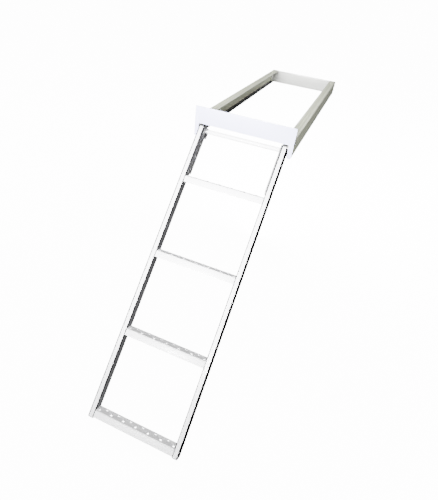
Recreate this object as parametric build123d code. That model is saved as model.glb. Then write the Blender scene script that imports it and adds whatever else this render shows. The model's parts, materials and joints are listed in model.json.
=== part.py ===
"""Pull-out access ladder that slides out of a flat under-deck frame and swings down to be climbed.

X points right, Y points to the back of the frame and Z points up. The origin is on the top faces of
the two side rails, in the middle of the four deck bolt holes. The ladder is modelled lying flat, with
its pivot at its own origin, and then swung down and placed at the front of the frame.
"""
from build123d import *
import math
import os

# Frame, overall
frame_width = 400.0
frame_length = 1180.0
running_gap = 0.3

# Frame side rails: channels that open towards the ladder
frame_rail_height = 71.0
frame_rail_wall = 3.0
frame_rail_bend = 4.5
top_flange_width = 36.0
bottom_flange_width = 14.0
deck_hole_radius = 4.5
deck_hole_end_margin = 90.0

# Fascia: front panel with a leg at each end
fascia_wall = 3.0
fascia_rise = 42.0
fascia_leg_overhang = 2.0
fascia_leg_width = 17.0
fascia_top_radius = 3.0
fascia_leg_radius = 6.5
fascia_inner_radius = 1.0
fascia_tab_length = 14.0
fascia_tab_height = 12.0
fascia_tab_wall = 2.6
fascia_tab_top_gap = 7.0

# Back plate
back_plate_wall = 3.0
back_plate_setback = 3.0
back_lip_depth = 18.0
back_return_length = 22.0
back_return_wall = 2.6
back_return_margin = 12.0
back_screw_edge = 10.0

# Screws that hold the fascia and the back plate
screw_shank_radius = 2.5
screw_head_radius = 4.6
screw_head_height = 2.6
screw_head_fillet = 1.5

# Low-friction wear strips in the side rails
wear_strip_wall = 3.0
wear_strip_height = 10.0
wear_strip_inset = 2.0
bend_relief = 2.0

# Sliding shoes and pivot rod
shoe_length = 50.0
shoe_corner_radius = 3.0
shoe_ladder_gap = 1.0
pivot_rod_radius = 5.0
pivot_rod_fit = 0.05
pivot_rod_chamfer = 1.0
pivot_from_shoe_front = 8.5
pivot_above_floor = 16.0
stop_gap = 0.5

# Ladder, overall
ladder_side_gap = 3.0
ladder_foot_margin = 1.0
ladder_drop_angle = 45.0

# Ladder rails: channels that open outwards
ladder_rail_face = 21.0
ladder_rail_wall = 2.5
ladder_rail_bend = 3.6
pivot_to_ladder_face = 24.0
rail_past_stop_edge = 1.2

# Pivot plates inside the top of the ladder rails
pivot_plate_wall = 5.0
pivot_plate_inset = 1.0
pivot_plate_reach = 184.0
pivot_plate_end_radius = 9.0
plate_rivet_radius = 2.4
plate_rivet_head_radius = 4.5
plate_rivet_head_height = 1.6
plate_rivet_head_fillet = 1.2
plate_rivet_stations = (60.0, 115.0, 170.0)

# Bushes and spacer tube on the pivot rod
bush_wall = 1.5
bush_flange_step = 1.3
bush_flange_height = 2.0
bush_flange_gap = 0.1
bush_seat_fit = 0.05
spacer_tube_wall = 2.4
spacer_tube_bore_gap = 0.6

# Treads
tread_count = 4
first_tread_reach = 203.0
tread_pitch = 309.0
tread_tilt = 20.0
tread_wall = 2.5
tread_nose_radius = 5.0
tread_back_radius = 3.5
tread_apron_height = 24.0
tread_back_height = 7.0
tread_back_margin = 2.0
grip_hole_count = 13
grip_hole_radius = 4.0
grip_collar_wall = 1.5
grip_collar_height = 1.4
grip_rows_from_nose = (12.5, 26.0)
grip_end_margin = 8.0

# Stop pads, foot caps and strap hook
stop_pad_height = 3.2
stop_pad_fillet = 1.2
stop_pad_length = 10.0
stop_pad_gap = 0.4
foot_cap_height = 3.0
foot_cap_plug_length = 12.0
foot_cap_plug_gap = 0.15
hook_wall = 3.0
hook_width = 8.0
hook_drop = 22.0
hook_throat = 6.0
hook_seat = 2.0

# How far a cutter runs past the wall that it cuts
cutter_reach = 5.0

# Places that follow from the sizes above
half_width = frame_width / 2
front_y = -frame_length / 2
back_y = frame_length / 2
rail_front_y = front_y + fascia_wall
web_inner_x = half_width - frame_rail_wall
top_flange_inner_x = half_width - top_flange_width
bottom_flange_inner_x = half_width - bottom_flange_width
rail_floor_z = -frame_rail_height + frame_rail_wall
wear_face_x = web_inner_x - wear_strip_wall
wear_floor_z = rail_floor_z + wear_strip_wall
back_plate_y = back_y - back_plate_setback - back_plate_wall
back_return_start_y = back_plate_y - back_return_length
deck_hole_x = half_width - top_flange_width / 2
deck_hole_y = frame_length / 2 - deck_hole_end_margin
fascia_leg_drop = frame_rail_height + fascia_leg_overhang
ladder_half = half_width - fascia_leg_width - ladder_side_gap
ladder_web_x = ladder_half - ladder_rail_face
plate_inner_x = ladder_web_x - pivot_plate_wall
shoe_front_y = rail_front_y + stop_gap
shoe_inner_x = ladder_half + shoe_ladder_gap
shoe_outer_x = wear_face_x - running_gap
pivot_y = shoe_front_y + pivot_from_shoe_front
pivot_z = rail_floor_z + pivot_above_floor
ladder_place = Pos(0, pivot_y, pivot_z) * Rot(ladder_drop_angle, 0, 0)
ladder_reach = (
    first_tread_reach + (tread_count - 1) * tread_pitch + tread_apron_height + ladder_foot_margin
)
bush_sleeve_radius = pivot_rod_radius + bush_wall
bush_flange_radius = bush_sleeve_radius + bush_flange_step
spacer_tube_bore_radius = pivot_rod_radius + spacer_tube_bore_gap
spacer_tube_radius = spacer_tube_bore_radius + spacer_tube_wall
pivot_to_ladder_back = bush_flange_radius + ladder_rail_bend + bush_flange_gap
plate_rivet_z = (pivot_to_ladder_face - pivot_to_ladder_back) / 2

# The fascia's lower rear edge lies just above the stop pads of the lowered ladder
drop_sine = math.sin(math.radians(ladder_drop_angle))
drop_cosine = math.cos(math.radians(ladder_drop_angle))
stop_level = pivot_to_ladder_face + stop_pad_height + stop_pad_gap
stop_edge_above_pivot = (stop_level + (rail_front_y - pivot_y) * drop_sine) / drop_cosine
fascia_drop = -pivot_z - stop_edge_above_pivot
rail_past_pivot = (
    (rail_front_y - pivot_y) * drop_cosine + stop_edge_above_pivot * drop_sine + rail_past_stop_edge
)


def block(x, y, z):
    """Box between the low and high value given for each axis."""
    size = [high - low for low, high in (x, y, z)]
    middle = [(high + low) / 2 for low, high in (x, y, z)]
    return Pos(*middle) * Box(*size)


def bar_along_x(radius, x_low, x_high, y=0.0, z=0.0):
    """Round bar that lies along X."""
    turned = Rot(0, 90, 0) * Cylinder(radius, x_high - x_low)
    return Pos((x_low + x_high) / 2, y, z) * turned


def folded_section(corners, wall, bend, side):
    """Closed face of a folded sheet, from the corners and bends of its outer surface."""
    skin = FilletPolyline(*corners, radius=bend)
    return make_face(offset(skin, amount=wall, side=side).edges())


def on_left(right_part):
    """Mirror image of a right-hand piece, or of each piece in a list."""
    if isinstance(right_part, list):
        return [mirror(piece, about=Plane.YZ) for piece in right_part]
    return mirror(right_part, about=Plane.YZ)


def screw_through_side(y, z, inner_x):
    """Button-head screw through the right side rail, head outside."""
    shank = bar_along_x(screw_shank_radius, inner_x, half_width, y, z)
    head = bar_along_x(screw_head_radius, half_width, half_width + screw_head_height, y, z)
    head = fillet(head.edges().sort_by(Axis.X)[-1:], screw_head_fillet)
    return shank + head


def screw_hole(y, z):
    """Cutter for a side screw's clearance hole."""
    return bar_along_x(screw_shank_radius, web_inner_x - cutter_reach, half_width + cutter_reach, y, z)


fascia_screw_y = rail_front_y + fascia_tab_length / 2
fascia_tab_top_z = -frame_rail_wall - fascia_tab_top_gap
fascia_screw_z = fascia_tab_top_z - fascia_tab_height / 2
back_screw_y = back_plate_y - back_return_length / 2
back_return_top_z = -back_return_margin
back_return_floor_z = rail_floor_z + back_return_margin
back_screw_levels = (back_return_top_z - back_screw_edge, back_return_floor_z + back_screw_edge)


def frame_rail():
    """Right side rail of the frame."""
    corners = [
        (top_flange_inner_x, 0),
        (half_width, 0),
        (half_width, -frame_rail_height),
        (bottom_flange_inner_x, -frame_rail_height),
    ]
    section = Plane.XZ * folded_section(corners, frame_rail_wall, frame_rail_bend, Side.RIGHT)
    rail = Pos(0, rail_front_y, 0) * extrude(section, amount=-(back_y - rail_front_y))
    deck_holes = [
        Pos(deck_hole_x, y, 0) * Cylinder(deck_hole_radius, frame_rail_wall + cutter_reach)
        for y in (-deck_hole_y, deck_hole_y)
    ]
    side_holes = [screw_hole(back_screw_y, z) for z in back_screw_levels]
    return rail - deck_holes - screw_hole(fascia_screw_y, fascia_screw_z) - side_holes


def fascia_panel():
    """Front panel with two legs and a screw tab behind each end."""
    leg_inner_x = half_width - fascia_leg_width
    outline = Polyline(
        (-half_width, fascia_rise),
        (half_width, fascia_rise),
        (half_width, -fascia_leg_drop),
        (leg_inner_x, -fascia_leg_drop),
        (leg_inner_x, -fascia_drop),
        (-leg_inner_x, -fascia_drop),
        (-leg_inner_x, -fascia_leg_drop),
        (-half_width, -fascia_leg_drop),
        close=True,
    )
    face = make_face(outline)
    face = fillet(face.vertices().group_by(Axis.Y)[1], fascia_inner_radius)
    face = fillet(face.vertices().group_by(Axis.Y)[0], fascia_leg_radius)
    face = fillet(face.vertices().group_by(Axis.Y)[-1], fascia_top_radius)
    panel = Pos(0, front_y, 0) * extrude(Plane.XZ * face, amount=-fascia_wall)
    tab = block(
        (web_inner_x - fascia_tab_wall, web_inner_x),
        (rail_front_y, rail_front_y + fascia_tab_length),
        (fascia_tab_top_z - fascia_tab_height, fascia_tab_top_z),
    )
    tab -= screw_hole(fascia_screw_y, fascia_screw_z)
    return panel + tab + on_left(tab)


def back_plate():
    """Rear cross plate with a top lip and two side returns."""
    lip_half = top_flange_inner_x - running_gap
    lower = block(
        (-web_inner_x, web_inner_x),
        (back_plate_y, back_plate_y + back_plate_wall),
        (rail_floor_z, -frame_rail_wall),
    )
    lower = chamfer(lower.edges().filter_by(Axis.Y), bend_relief)
    upper = block(
        (-lip_half, lip_half),
        (back_plate_y, back_plate_y + back_plate_wall),
        (-frame_rail_wall, 0),
    )
    lip = block(
        (-lip_half, lip_half),
        (back_plate_y - back_lip_depth, back_plate_y),
        (-back_plate_wall, 0),
    )
    side = block(
        (web_inner_x - back_return_wall, web_inner_x),
        (back_return_start_y, back_plate_y),
        (back_return_floor_z, back_return_top_z),
    )
    side -= [screw_hole(back_screw_y, z) for z in back_screw_levels]
    return lower + upper + lip + side + on_left(side)


def wear_strip():
    """Right L-shaped slide strip on the floor and the web of the side rail."""
    length = (rail_front_y + wear_strip_inset, back_return_start_y - wear_strip_inset)
    upright = block(
        (wear_face_x, web_inner_x),
        length,
        (rail_floor_z, rail_floor_z + wear_strip_height),
    )
    foot = block((bottom_flange_inner_x, web_inner_x), length, (rail_floor_z, wear_floor_z))
    strip = upright + foot
    corner = strip.edges().filter_by(Axis.Y).sort_by(lambda edge: edge.center().X - edge.center().Z)
    return chamfer(corner[-1:], bend_relief)


def slide_shoe():
    """Right sliding shoe, bored for the pivot rod."""
    shoe = block(
        (shoe_inner_x, shoe_outer_x),
        (shoe_front_y, shoe_front_y + shoe_length),
        (wear_floor_z + running_gap, -frame_rail_wall - running_gap),
    )
    shoe = fillet(shoe.edges().filter_by(Axis.X), shoe_corner_radius)
    return shoe - bar_along_x(pivot_rod_radius + pivot_rod_fit, 0, half_width, pivot_y, pivot_z)


def pivot_rod():
    """Rod from shoe to shoe that the ladder swings on."""
    rod = bar_along_x(pivot_rod_radius, -shoe_outer_x, shoe_outer_x, pivot_y, pivot_z)
    return chamfer(rod.edges(), pivot_rod_chamfer)


def ladder_rail():
    """Right ladder rail, lying flat, with its pivot hole and rivet holes."""
    corners = [
        (ladder_half, -pivot_to_ladder_back),
        (ladder_web_x, -pivot_to_ladder_back),
        (ladder_web_x, pivot_to_ladder_face),
        (ladder_half, pivot_to_ladder_face),
    ]
    section = Plane.XZ * folded_section(corners, ladder_rail_wall, ladder_rail_bend, Side.RIGHT)
    rail = Pos(0, rail_past_pivot, 0) * extrude(section, amount=rail_past_pivot + ladder_reach)
    holes = [bar_along_x(bush_sleeve_radius + bush_seat_fit, 0, ladder_half)]
    holes += [
        bar_along_x(plate_rivet_radius, 0, ladder_half, -reach, plate_rivet_z)
        for reach in plate_rivet_stations
    ]
    return rail - holes


def pivot_plate():
    """Right pivot plate on the inside of the ladder rail's web."""
    plate = block(
        (plate_inner_x, ladder_web_x),
        (-pivot_plate_reach, rail_past_pivot),
        (-pivot_to_ladder_back + pivot_plate_inset, pivot_to_ladder_face - pivot_plate_inset),
    )
    top_edges = plate.edges().filter_by(Axis.X).group_by(Axis.Y)[-1]
    plate = fillet(top_edges, pivot_plate_end_radius)
    holes = [bar_along_x(bush_sleeve_radius + bush_seat_fit, 0, ladder_half)]
    holes += [
        bar_along_x(plate_rivet_radius, 0, ladder_half, -reach, plate_rivet_z)
        for reach in plate_rivet_stations
    ]
    return plate - holes


def plate_rivets():
    """The rivets of the right pivot plate, as separate solids."""
    outer_x = ladder_web_x + ladder_rail_wall
    rivets = []
    for reach in plate_rivet_stations:
        shank = bar_along_x(plate_rivet_radius, plate_inner_x, outer_x, -reach, plate_rivet_z)
        inner_head = bar_along_x(
            plate_rivet_head_radius,
            plate_inner_x - plate_rivet_head_height,
            plate_inner_x,
            -reach,
            plate_rivet_z,
        )
        outer_head = bar_along_x(
            plate_rivet_head_radius,
            outer_x,
            outer_x + plate_rivet_head_height,
            -reach,
            plate_rivet_z,
        )
        inner_head = fillet(inner_head.edges().sort_by(Axis.X)[:1], plate_rivet_head_fillet)
        outer_head = fillet(outer_head.edges().sort_by(Axis.X)[-1:], plate_rivet_head_fillet)
        rivets.append(shank + inner_head + outer_head)
    return rivets


def pivot_bush():
    """Right flanged bush in the ladder rail's web and pivot plate."""
    outer_x = ladder_web_x + ladder_rail_wall
    sleeve = bar_along_x(bush_sleeve_radius, plate_inner_x, outer_x)
    flange = bar_along_x(bush_flange_radius, outer_x, outer_x + bush_flange_height)
    return sleeve + flange - bar_along_x(pivot_rod_radius + pivot_rod_fit, 0, ladder_half)


def spacer_tube():
    """Tube round the pivot rod, between the two pivot plates."""
    tube = bar_along_x(spacer_tube_radius, -plate_inner_x, plate_inner_x)
    return tube - bar_along_x(spacer_tube_bore_radius, -ladder_half, ladder_half)


def tread_corners(reach):
    """Corners of a tread's outer surface in Y and Z, from apron to back."""
    tilt = math.radians(tread_tilt)
    depth = pivot_to_ladder_face + pivot_to_ladder_back - tread_back_margin
    rise = depth * math.tan(tilt)
    back_z = pivot_to_ladder_face - depth
    return [
        (-reach - tread_apron_height, pivot_to_ladder_face),
        (-reach, pivot_to_ladder_face),
        (-reach + rise, back_z),
        (-reach + rise - tread_back_height, back_z),
    ]


def tread(reach):
    """One tread between the ladder rails, with raised grip holes in two rows."""
    corners = tread_corners(reach)
    bends = [tread_nose_radius, tread_back_radius]
    section = Plane.YZ * folded_section(corners, tread_wall, bends, Side.RIGHT)
    step = Pos(-ladder_web_x, 0, 0) * extrude(section, amount=2 * ladder_web_x)
    front = Vector(0, *corners[1])
    back = Vector(0, *corners[2])
    rearward = (back - front).normalized()
    upward = Vector(0, math.cos(math.radians(tread_tilt)), math.sin(math.radians(tread_tilt)))
    span = 2 * (ladder_web_x - grip_end_margin)
    collars = []
    holes = []
    for index in range(grip_hole_count):
        row = grip_rows_from_nose[index % 2]
        x = -span / 2 + span * index / (grip_hole_count - 1)
        centre = front + rearward * row + Vector(x, 0, 0)
        seat = Plane(origin=centre, x_dir=(1, 0, 0), z_dir=upward)
        collar = Cylinder(grip_hole_radius + grip_collar_wall, grip_collar_height + tread_wall / 2)
        collars.append(seat * Pos(0, 0, (grip_collar_height - tread_wall / 2) / 2) * collar)
        holes.append(seat * Cylinder(grip_hole_radius, 2 * cutter_reach))
    return step + collars - holes


def stop_pad():
    """Right rubber pad on the ladder rail's face, which meets the fascia's lower edge."""
    pad = block(
        (ladder_web_x + ladder_rail_bend, ladder_half),
        (rail_past_pivot - stop_pad_length, rail_past_pivot),
        (pivot_to_ladder_face, pivot_to_ladder_face + stop_pad_height),
    )
    return fillet(pad.edges().filter_by(Axis.X).group_by(Axis.Z)[-1], stop_pad_fillet)


def foot_cap():
    """Right plastic cap in the lower end of the ladder rail."""
    end_y = -ladder_reach
    cover = block(
        (ladder_web_x, ladder_half),
        (end_y - foot_cap_height, end_y),
        (-pivot_to_ladder_back, pivot_to_ladder_face),
    )
    cover = fillet(cover.edges().filter_by(Axis.Y), foot_cap_height)
    inside = ladder_rail_wall + foot_cap_plug_gap
    plug = block(
        (ladder_web_x + inside, ladder_half - inside),
        (end_y, end_y + foot_cap_plug_length),
        (-pivot_to_ladder_back + inside, pivot_to_ladder_face - inside),
    )
    plug = fillet(plug.edges().filter_by(Axis.Y), ladder_rail_bend)
    return cover + plug


def strap_hook():
    """Small steel hook that hangs from the left end of the spacer tube."""
    inner_x = -plate_inner_x
    eye = bar_along_x(spacer_tube_radius + hook_wall, inner_x, inner_x + hook_width)
    tip_y = -spacer_tube_radius - hook_drop
    throat_z = -spacer_tube_radius + hook_seat
    tongue = block(
        (inner_x, inner_x + hook_width),
        (tip_y, 0),
        (throat_z - hook_wall, throat_z),
    )
    tip = block(
        (inner_x, inner_x + hook_width),
        (tip_y, tip_y + hook_wall),
        (throat_z, throat_z + hook_throat),
    )
    return eye + tongue + tip - bar_along_x(spacer_tube_radius, -ladder_half, 0)


def save(name, shape):
    """Write one named piece, or group of pieces, as a STEP file."""
    if isinstance(shape, list):
        shape = Compound(children=shape)
    export_step(shape, os.path.join("parts", name + ".step"))


def save_pair(name, right_part):
    """Write a right-hand piece and its mirror image."""
    save("right_" + name, right_part)
    save("left_" + name, on_left(right_part))


def main():
    os.makedirs("parts", exist_ok=True)

    save_pair("frame_rail", frame_rail())
    save("fascia_panel", fascia_panel())
    save("back_plate", back_plate())
    save_pair("wear_strip", wear_strip())
    fascia_screw = screw_through_side(fascia_screw_y, fascia_screw_z, web_inner_x - fascia_tab_wall)
    save("fascia_screws", [fascia_screw, on_left(fascia_screw)])
    back_screws = [
        screw_through_side(back_screw_y, z, web_inner_x - back_return_wall) for z in back_screw_levels
    ]
    save("back_plate_screws", back_screws + on_left(back_screws))

    save_pair("slide_shoe", slide_shoe())
    save("pivot_rod", pivot_rod())

    save_pair("ladder_rail", ladder_place * ladder_rail())
    save_pair("pivot_plate", ladder_place * pivot_plate())
    save_pair("pivot_plate_rivets", [ladder_place * rivet for rivet in plate_rivets()])
    save_pair("pivot_bush", ladder_place * pivot_bush())
    save("spacer_tube", ladder_place * spacer_tube())
    for number in range(tread_count):
        reach = first_tread_reach + number * tread_pitch
        save(f"tread_{number + 1}", ladder_place * tread(reach))
    save_pair("stop_pad", ladder_place * stop_pad())
    save_pair("foot_cap", ladder_place * foot_cap())
    save("strap_hook", ladder_place * strap_hook())


main()
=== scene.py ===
"""Pull-out access ladder: the dressed model.

A flat frame hangs under a deck. Two shoes slide in its side rails and carry a rod, and a ladder with four
treads swings on that rod. Every piece is made in metres, in the frame's own axes: X to the right, Y to the
back, Z up. Ladder pieces are made lying flat with the pivot at the origin, and then swung into place.
"""

import json
import logging
import math
from collections.abc import Callable
from dataclasses import dataclass, field
from enum import Enum

import bmesh
import bpy
from mathutils import Matrix, Vector

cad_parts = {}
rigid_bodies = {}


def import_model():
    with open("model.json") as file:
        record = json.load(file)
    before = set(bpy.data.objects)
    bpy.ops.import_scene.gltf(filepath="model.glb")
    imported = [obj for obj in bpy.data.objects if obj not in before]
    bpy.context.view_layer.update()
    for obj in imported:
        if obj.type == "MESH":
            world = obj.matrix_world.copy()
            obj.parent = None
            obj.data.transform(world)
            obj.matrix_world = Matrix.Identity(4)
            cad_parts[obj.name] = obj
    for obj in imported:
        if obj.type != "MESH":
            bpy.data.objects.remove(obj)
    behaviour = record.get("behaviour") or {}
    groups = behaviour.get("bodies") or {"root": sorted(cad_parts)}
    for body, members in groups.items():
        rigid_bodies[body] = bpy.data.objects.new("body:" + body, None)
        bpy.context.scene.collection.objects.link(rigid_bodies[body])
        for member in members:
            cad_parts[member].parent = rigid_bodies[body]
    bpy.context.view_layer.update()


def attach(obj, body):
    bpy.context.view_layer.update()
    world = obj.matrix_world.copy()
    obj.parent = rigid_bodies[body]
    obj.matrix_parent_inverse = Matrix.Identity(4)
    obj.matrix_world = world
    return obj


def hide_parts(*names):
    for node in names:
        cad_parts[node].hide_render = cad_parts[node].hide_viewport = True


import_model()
log = logging.getLogger("ladder")

MM = 0.001
X_AXIS = Vector((1.0, 0.0, 0.0))
Z_AXIS = Vector((0.0, 0.0, 1.0))
ORIGIN = Vector((0.0, 0.0, 0.0))
CUT_REACH = 9 * MM
CROSS_REACH = 200 * MM
FACE_GAP = 0.02 * MM

Colour = tuple[float, float, float]
BLACK: Colour = (0.0, 0.0, 0.0)
WHITE: Colour = (1.0, 1.0, 1.0)
Socket = bpy.types.NodeSocket
FaceTest = Callable[[Vector, Vector], bool]

# Rings in each ripple of a weld bead, and flats round it.
BEAD_RINGS, BEAD_SIDES = 4, 8
# Places of the colour sockets on Blender's mix node, which gives them no names of their own.
MIX_FIRST, MIX_SECOND, MIX_RESULT = 6, 7, 2
# Upward parts of a face's normal that tell a flat face, a bend's face and an upright face apart.
FLAT, UPRIGHT = 0.995, 0.3
# The part of a noise's range that most of its values fall in.
NOISE_LOW, NOISE_HIGH = 0.3, 0.7


class Hand(Enum):
    """Side of the ladder that a paired piece is on, as the sign of its X."""

    RIGHT = 1
    LEFT = -1

    @property
    def word(self) -> str:
        """The side's name as it stands in a piece's name."""
        return self.name.lower()


class Body(Enum):
    """Moving group that a piece belongs to."""

    FRAME = "frame"
    CARRIAGE = "carriage"
    LADDER = "ladder"


class Slot(Enum):
    """Material slot that a piece belongs to."""

    WHITE_COAT = "white_coat"
    MILL_ALUMINIUM = "mill_aluminium"
    PLATE_ALUMINIUM = "plate_aluminium"
    ZINC_STEEL = "zinc_steel"
    DARK_STEEL = "dark_steel"
    BLACK_NYLON = "black_nylon"
    SHOE_NYLON = "shoe_nylon"
    BLACK_RUBBER = "black_rubber"


class Along(Enum):
    """Axis that a section is carried along, or that a grain runs along."""

    X = 0
    Y = 1
    Z = 2


# ---------------------------------------------------------------- finishes


class Nodes:
    """Short way to write a material's node tree."""

    def __init__(self, name: str) -> None:
        """Start a material with a bare surface shader.

        Args:
            name: The material's name.
        """
        self.material = bpy.data.materials.new(name)
        self.material.use_nodes = True
        self.tree = self.material.node_tree
        self.shader = self.tree.nodes["Principled BSDF"]

    def add(self, kind: str, **settings: object) -> bpy.types.Node:
        """Add a node and set its properties.

        Args:
            kind: Blender's name for the node type.
            settings: Property values, by name.

        Returns:
            The new node.
        """
        node = self.tree.nodes.new(kind)
        for key, value in settings.items():
            setattr(node, key, value)
        return node

    def link(self, source: Socket, target: Socket) -> None:
        """Join two sockets.

        Args:
            source: The output socket.
            target: The input socket.
        """
        self.tree.links.new(source, target)

    def noise(self, scale: float, detail: float, stretch: tuple = (1.0, 1.0, 1.0)) -> Socket:
        """Noise in the piece's own coordinates.

        Args:
            scale: Features per metre, roughly.
            detail: Octaves of finer noise.
            stretch: Scale factor on each axis; a small one draws the noise out along that axis.

        Returns:
            The noise value's socket.
        """
        place = self.add("ShaderNodeTexCoord")
        mapping = self.add("ShaderNodeMapping")
        mapping.inputs["Scale"].default_value = stretch
        texture = self.add("ShaderNodeTexNoise")
        texture.inputs["Scale"].default_value = scale
        texture.inputs["Detail"].default_value = detail
        self.link(place.outputs["Object"], mapping.inputs["Vector"])
        self.link(mapping.outputs["Vector"], texture.inputs["Vector"])
        return texture.outputs["Fac"]

    def ramp(self, source: Socket, stops: list) -> Socket:
        """Colour ramp over a value.

        Args:
            source: The value's socket.
            stops: Position and colour (three numbers) of each stop.

        Returns:
            The colour socket.
        """
        node = self.add("ShaderNodeValToRGB")
        elements = node.color_ramp.elements
        while len(elements) < len(stops):
            elements.new(0.5)
        for element, (position, colour) in zip(elements, stops):
            element.position = position
            element.color = (*colour, 1.0)
        self.link(source, node.inputs["Fac"])
        return node.outputs["Color"]

    def span(self, source: Socket, low: float, high: float) -> Socket:
        """A value from 0 to 1, carried onto another range.

        Args:
            source: The value's socket.
            low: The result at 0.
            high: The result at 1.

        Returns:
            The result's socket.
        """
        node = self.add("ShaderNodeMapRange")
        node.inputs["From Min"].default_value = NOISE_LOW
        node.inputs["From Max"].default_value = NOISE_HIGH
        node.inputs["To Min"].default_value = low
        node.inputs["To Max"].default_value = high
        self.link(source, node.inputs["Value"])
        return node.outputs["Result"]

    def blend(self, factor: Socket | float, first: Socket, second: Socket | Colour) -> Socket:
        """Mix of two colours.

        Args:
            factor: How much of the second colour shows: a socket, or one amount for the whole surface.
            first: The first colour's socket.
            second: The second colour: a socket, or one colour for the whole surface.

        Returns:
            The mixed colour's socket.
        """
        node = self.add("ShaderNodeMix", data_type="RGBA")
        if isinstance(factor, Socket):
            self.link(factor, node.inputs["Factor"])
        else:
            node.inputs["Factor"].default_value = factor
        self.link(first, node.inputs[MIX_FIRST])
        if isinstance(second, Socket):
            self.link(second, node.inputs[MIX_SECOND])
        else:
            node.inputs[MIX_SECOND].default_value = (*second, 1.0)
        return node.outputs[MIX_RESULT]

    def paint(self, colour: Socket) -> None:
        """Use a colour as the surface's base colour.

        Args:
            colour: The colour's socket.
        """
        self.link(colour, self.shader.inputs["Base Color"])

    def polish(self, source: Socket, low: float, high: float) -> None:
        """Let the surface's roughness vary with a noise.

        Args:
            source: The noise's socket.
            low: The least roughness.
            high: The greatest roughness.
        """
        self.link(self.span(source, low, high), self.shader.inputs["Roughness"])

    def bump(self, heights: list) -> None:
        """Chain of bumps into the shader's normal.

        Args:
            heights: Height socket and depth in metres of each bump.
        """
        normal = None
        for height, depth in heights:
            node = self.add("ShaderNodeBump")
            node.inputs["Strength"].default_value = 1.0
            node.inputs["Distance"].default_value = depth
            self.link(height, node.inputs["Height"])
            if normal is not None:
                self.link(normal, node.inputs["Normal"])
            normal = node.outputs["Normal"]
        self.link(normal, self.shader.inputs["Normal"])

    def edge_mask(self, low: float, high: float) -> Socket:
        """Mask that is bright on the convex edges of a piece.

        Args:
            low: Pointiness where the mask begins.
            high: Pointiness where it is full.

        Returns:
            The mask's socket.
        """
        geometry = self.add("ShaderNodeNewGeometry")
        node = self.add("ShaderNodeMapRange")
        node.inputs["From Min"].default_value = low
        node.inputs["From Max"].default_value = high
        self.link(geometry.outputs["Pointiness"], node.inputs["Value"])
        return node.outputs["Result"]


@dataclass(frozen=True)
class PowderCoat:
    """Baked powder coat with fine orange peel, a faint cloudiness and scuffed edges."""

    name: str
    colour: Colour
    shade: Colour
    worn: Colour = (0.78, 0.79, 0.81)
    roughness: float = 0.38
    coat: float = 0.15
    specular: float = 0.5
    clouds_per_metre: float = 7.0
    scuffs_per_metre: float = 60.0
    gloss_per_metre: float = 35.0
    peel_per_metre: float = 900.0
    peel_depth: float = 0.03 * MM
    waves_per_metre: float = 90.0
    wave_depth: float = 0.06 * MM

    def build(self) -> bpy.types.Material:
        """Make the material.

        Returns:
            The finished material.
        """
        nodes = Nodes(self.name)
        cloud = nodes.ramp(nodes.noise(self.clouds_per_metre, 4.0), [(0.35, self.shade), (0.65, self.colour)])
        scuffs = nodes.ramp(nodes.noise(self.scuffs_per_metre, 6.0), [(0.62, BLACK), (0.75, WHITE)])
        wear = nodes.add("ShaderNodeMath", operation="MULTIPLY")
        nodes.link(nodes.edge_mask(0.53, 0.62), wear.inputs[0])
        nodes.link(scuffs, wear.inputs[1])
        nodes.paint(nodes.blend(wear.outputs["Value"], cloud, self.worn))
        nodes.polish(nodes.noise(self.gloss_per_metre, 3.0), self.roughness - 0.05, self.roughness + 0.08)
        nodes.shader.inputs["Coat Weight"].default_value = self.coat
        nodes.shader.inputs["Specular IOR Level"].default_value = self.specular
        peel = nodes.noise(self.peel_per_metre, 2.0)
        waves = nodes.noise(self.waves_per_metre, 2.0)
        nodes.bump([(peel, self.peel_depth), (waves, self.wave_depth)])
        return nodes.material


@dataclass(frozen=True)
class DrawnMetal:
    """Bare metal with a drawn grain, faint stains and brighter rubbed edges."""

    name: str
    colour: Colour
    stain: Colour
    grain: Along
    bright_edge: Colour = (0.86, 0.87, 0.84)
    metallic: float = 0.85
    roughness: float = 0.42
    grain_per_metre: float = 420.0
    grain_depth: float = 0.04 * MM
    grain_stretch: float = 0.012
    grain_shade: float = 0.88
    stains_per_metre: float = 9.0
    waves_per_metre: float = 25.0
    wave_depth: float = 0.15 * MM

    def build(self) -> bpy.types.Material:
        """Make the material.

        Returns:
            The finished material.
        """
        nodes = Nodes(self.name)
        drawn = [1.0, 1.0, 1.0]
        drawn[self.grain.value] = self.grain_stretch
        streaks = nodes.noise(self.grain_per_metre, 4.0, tuple(drawn))
        stains = nodes.noise(self.stains_per_metre, 5.0)
        tone = nodes.ramp(stains, [(0.32, self.stain), (0.62, self.colour)])
        dull = tuple(part * self.grain_shade for part in self.colour)
        streaked = nodes.ramp(streaks, [(0.3, dull), (0.7, self.colour)])
        mixed = nodes.blend(0.5, tone, streaked)
        nodes.paint(nodes.blend(nodes.edge_mask(0.54, 0.64), mixed, self.bright_edge))
        nodes.polish(streaks, self.roughness - 0.08, self.roughness + 0.1)
        nodes.shader.inputs["Metallic"].default_value = self.metallic
        waves = nodes.noise(self.waves_per_metre, 2.0)
        nodes.bump([(streaks, self.grain_depth), (waves, self.wave_depth)])
        return nodes.material


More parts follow.
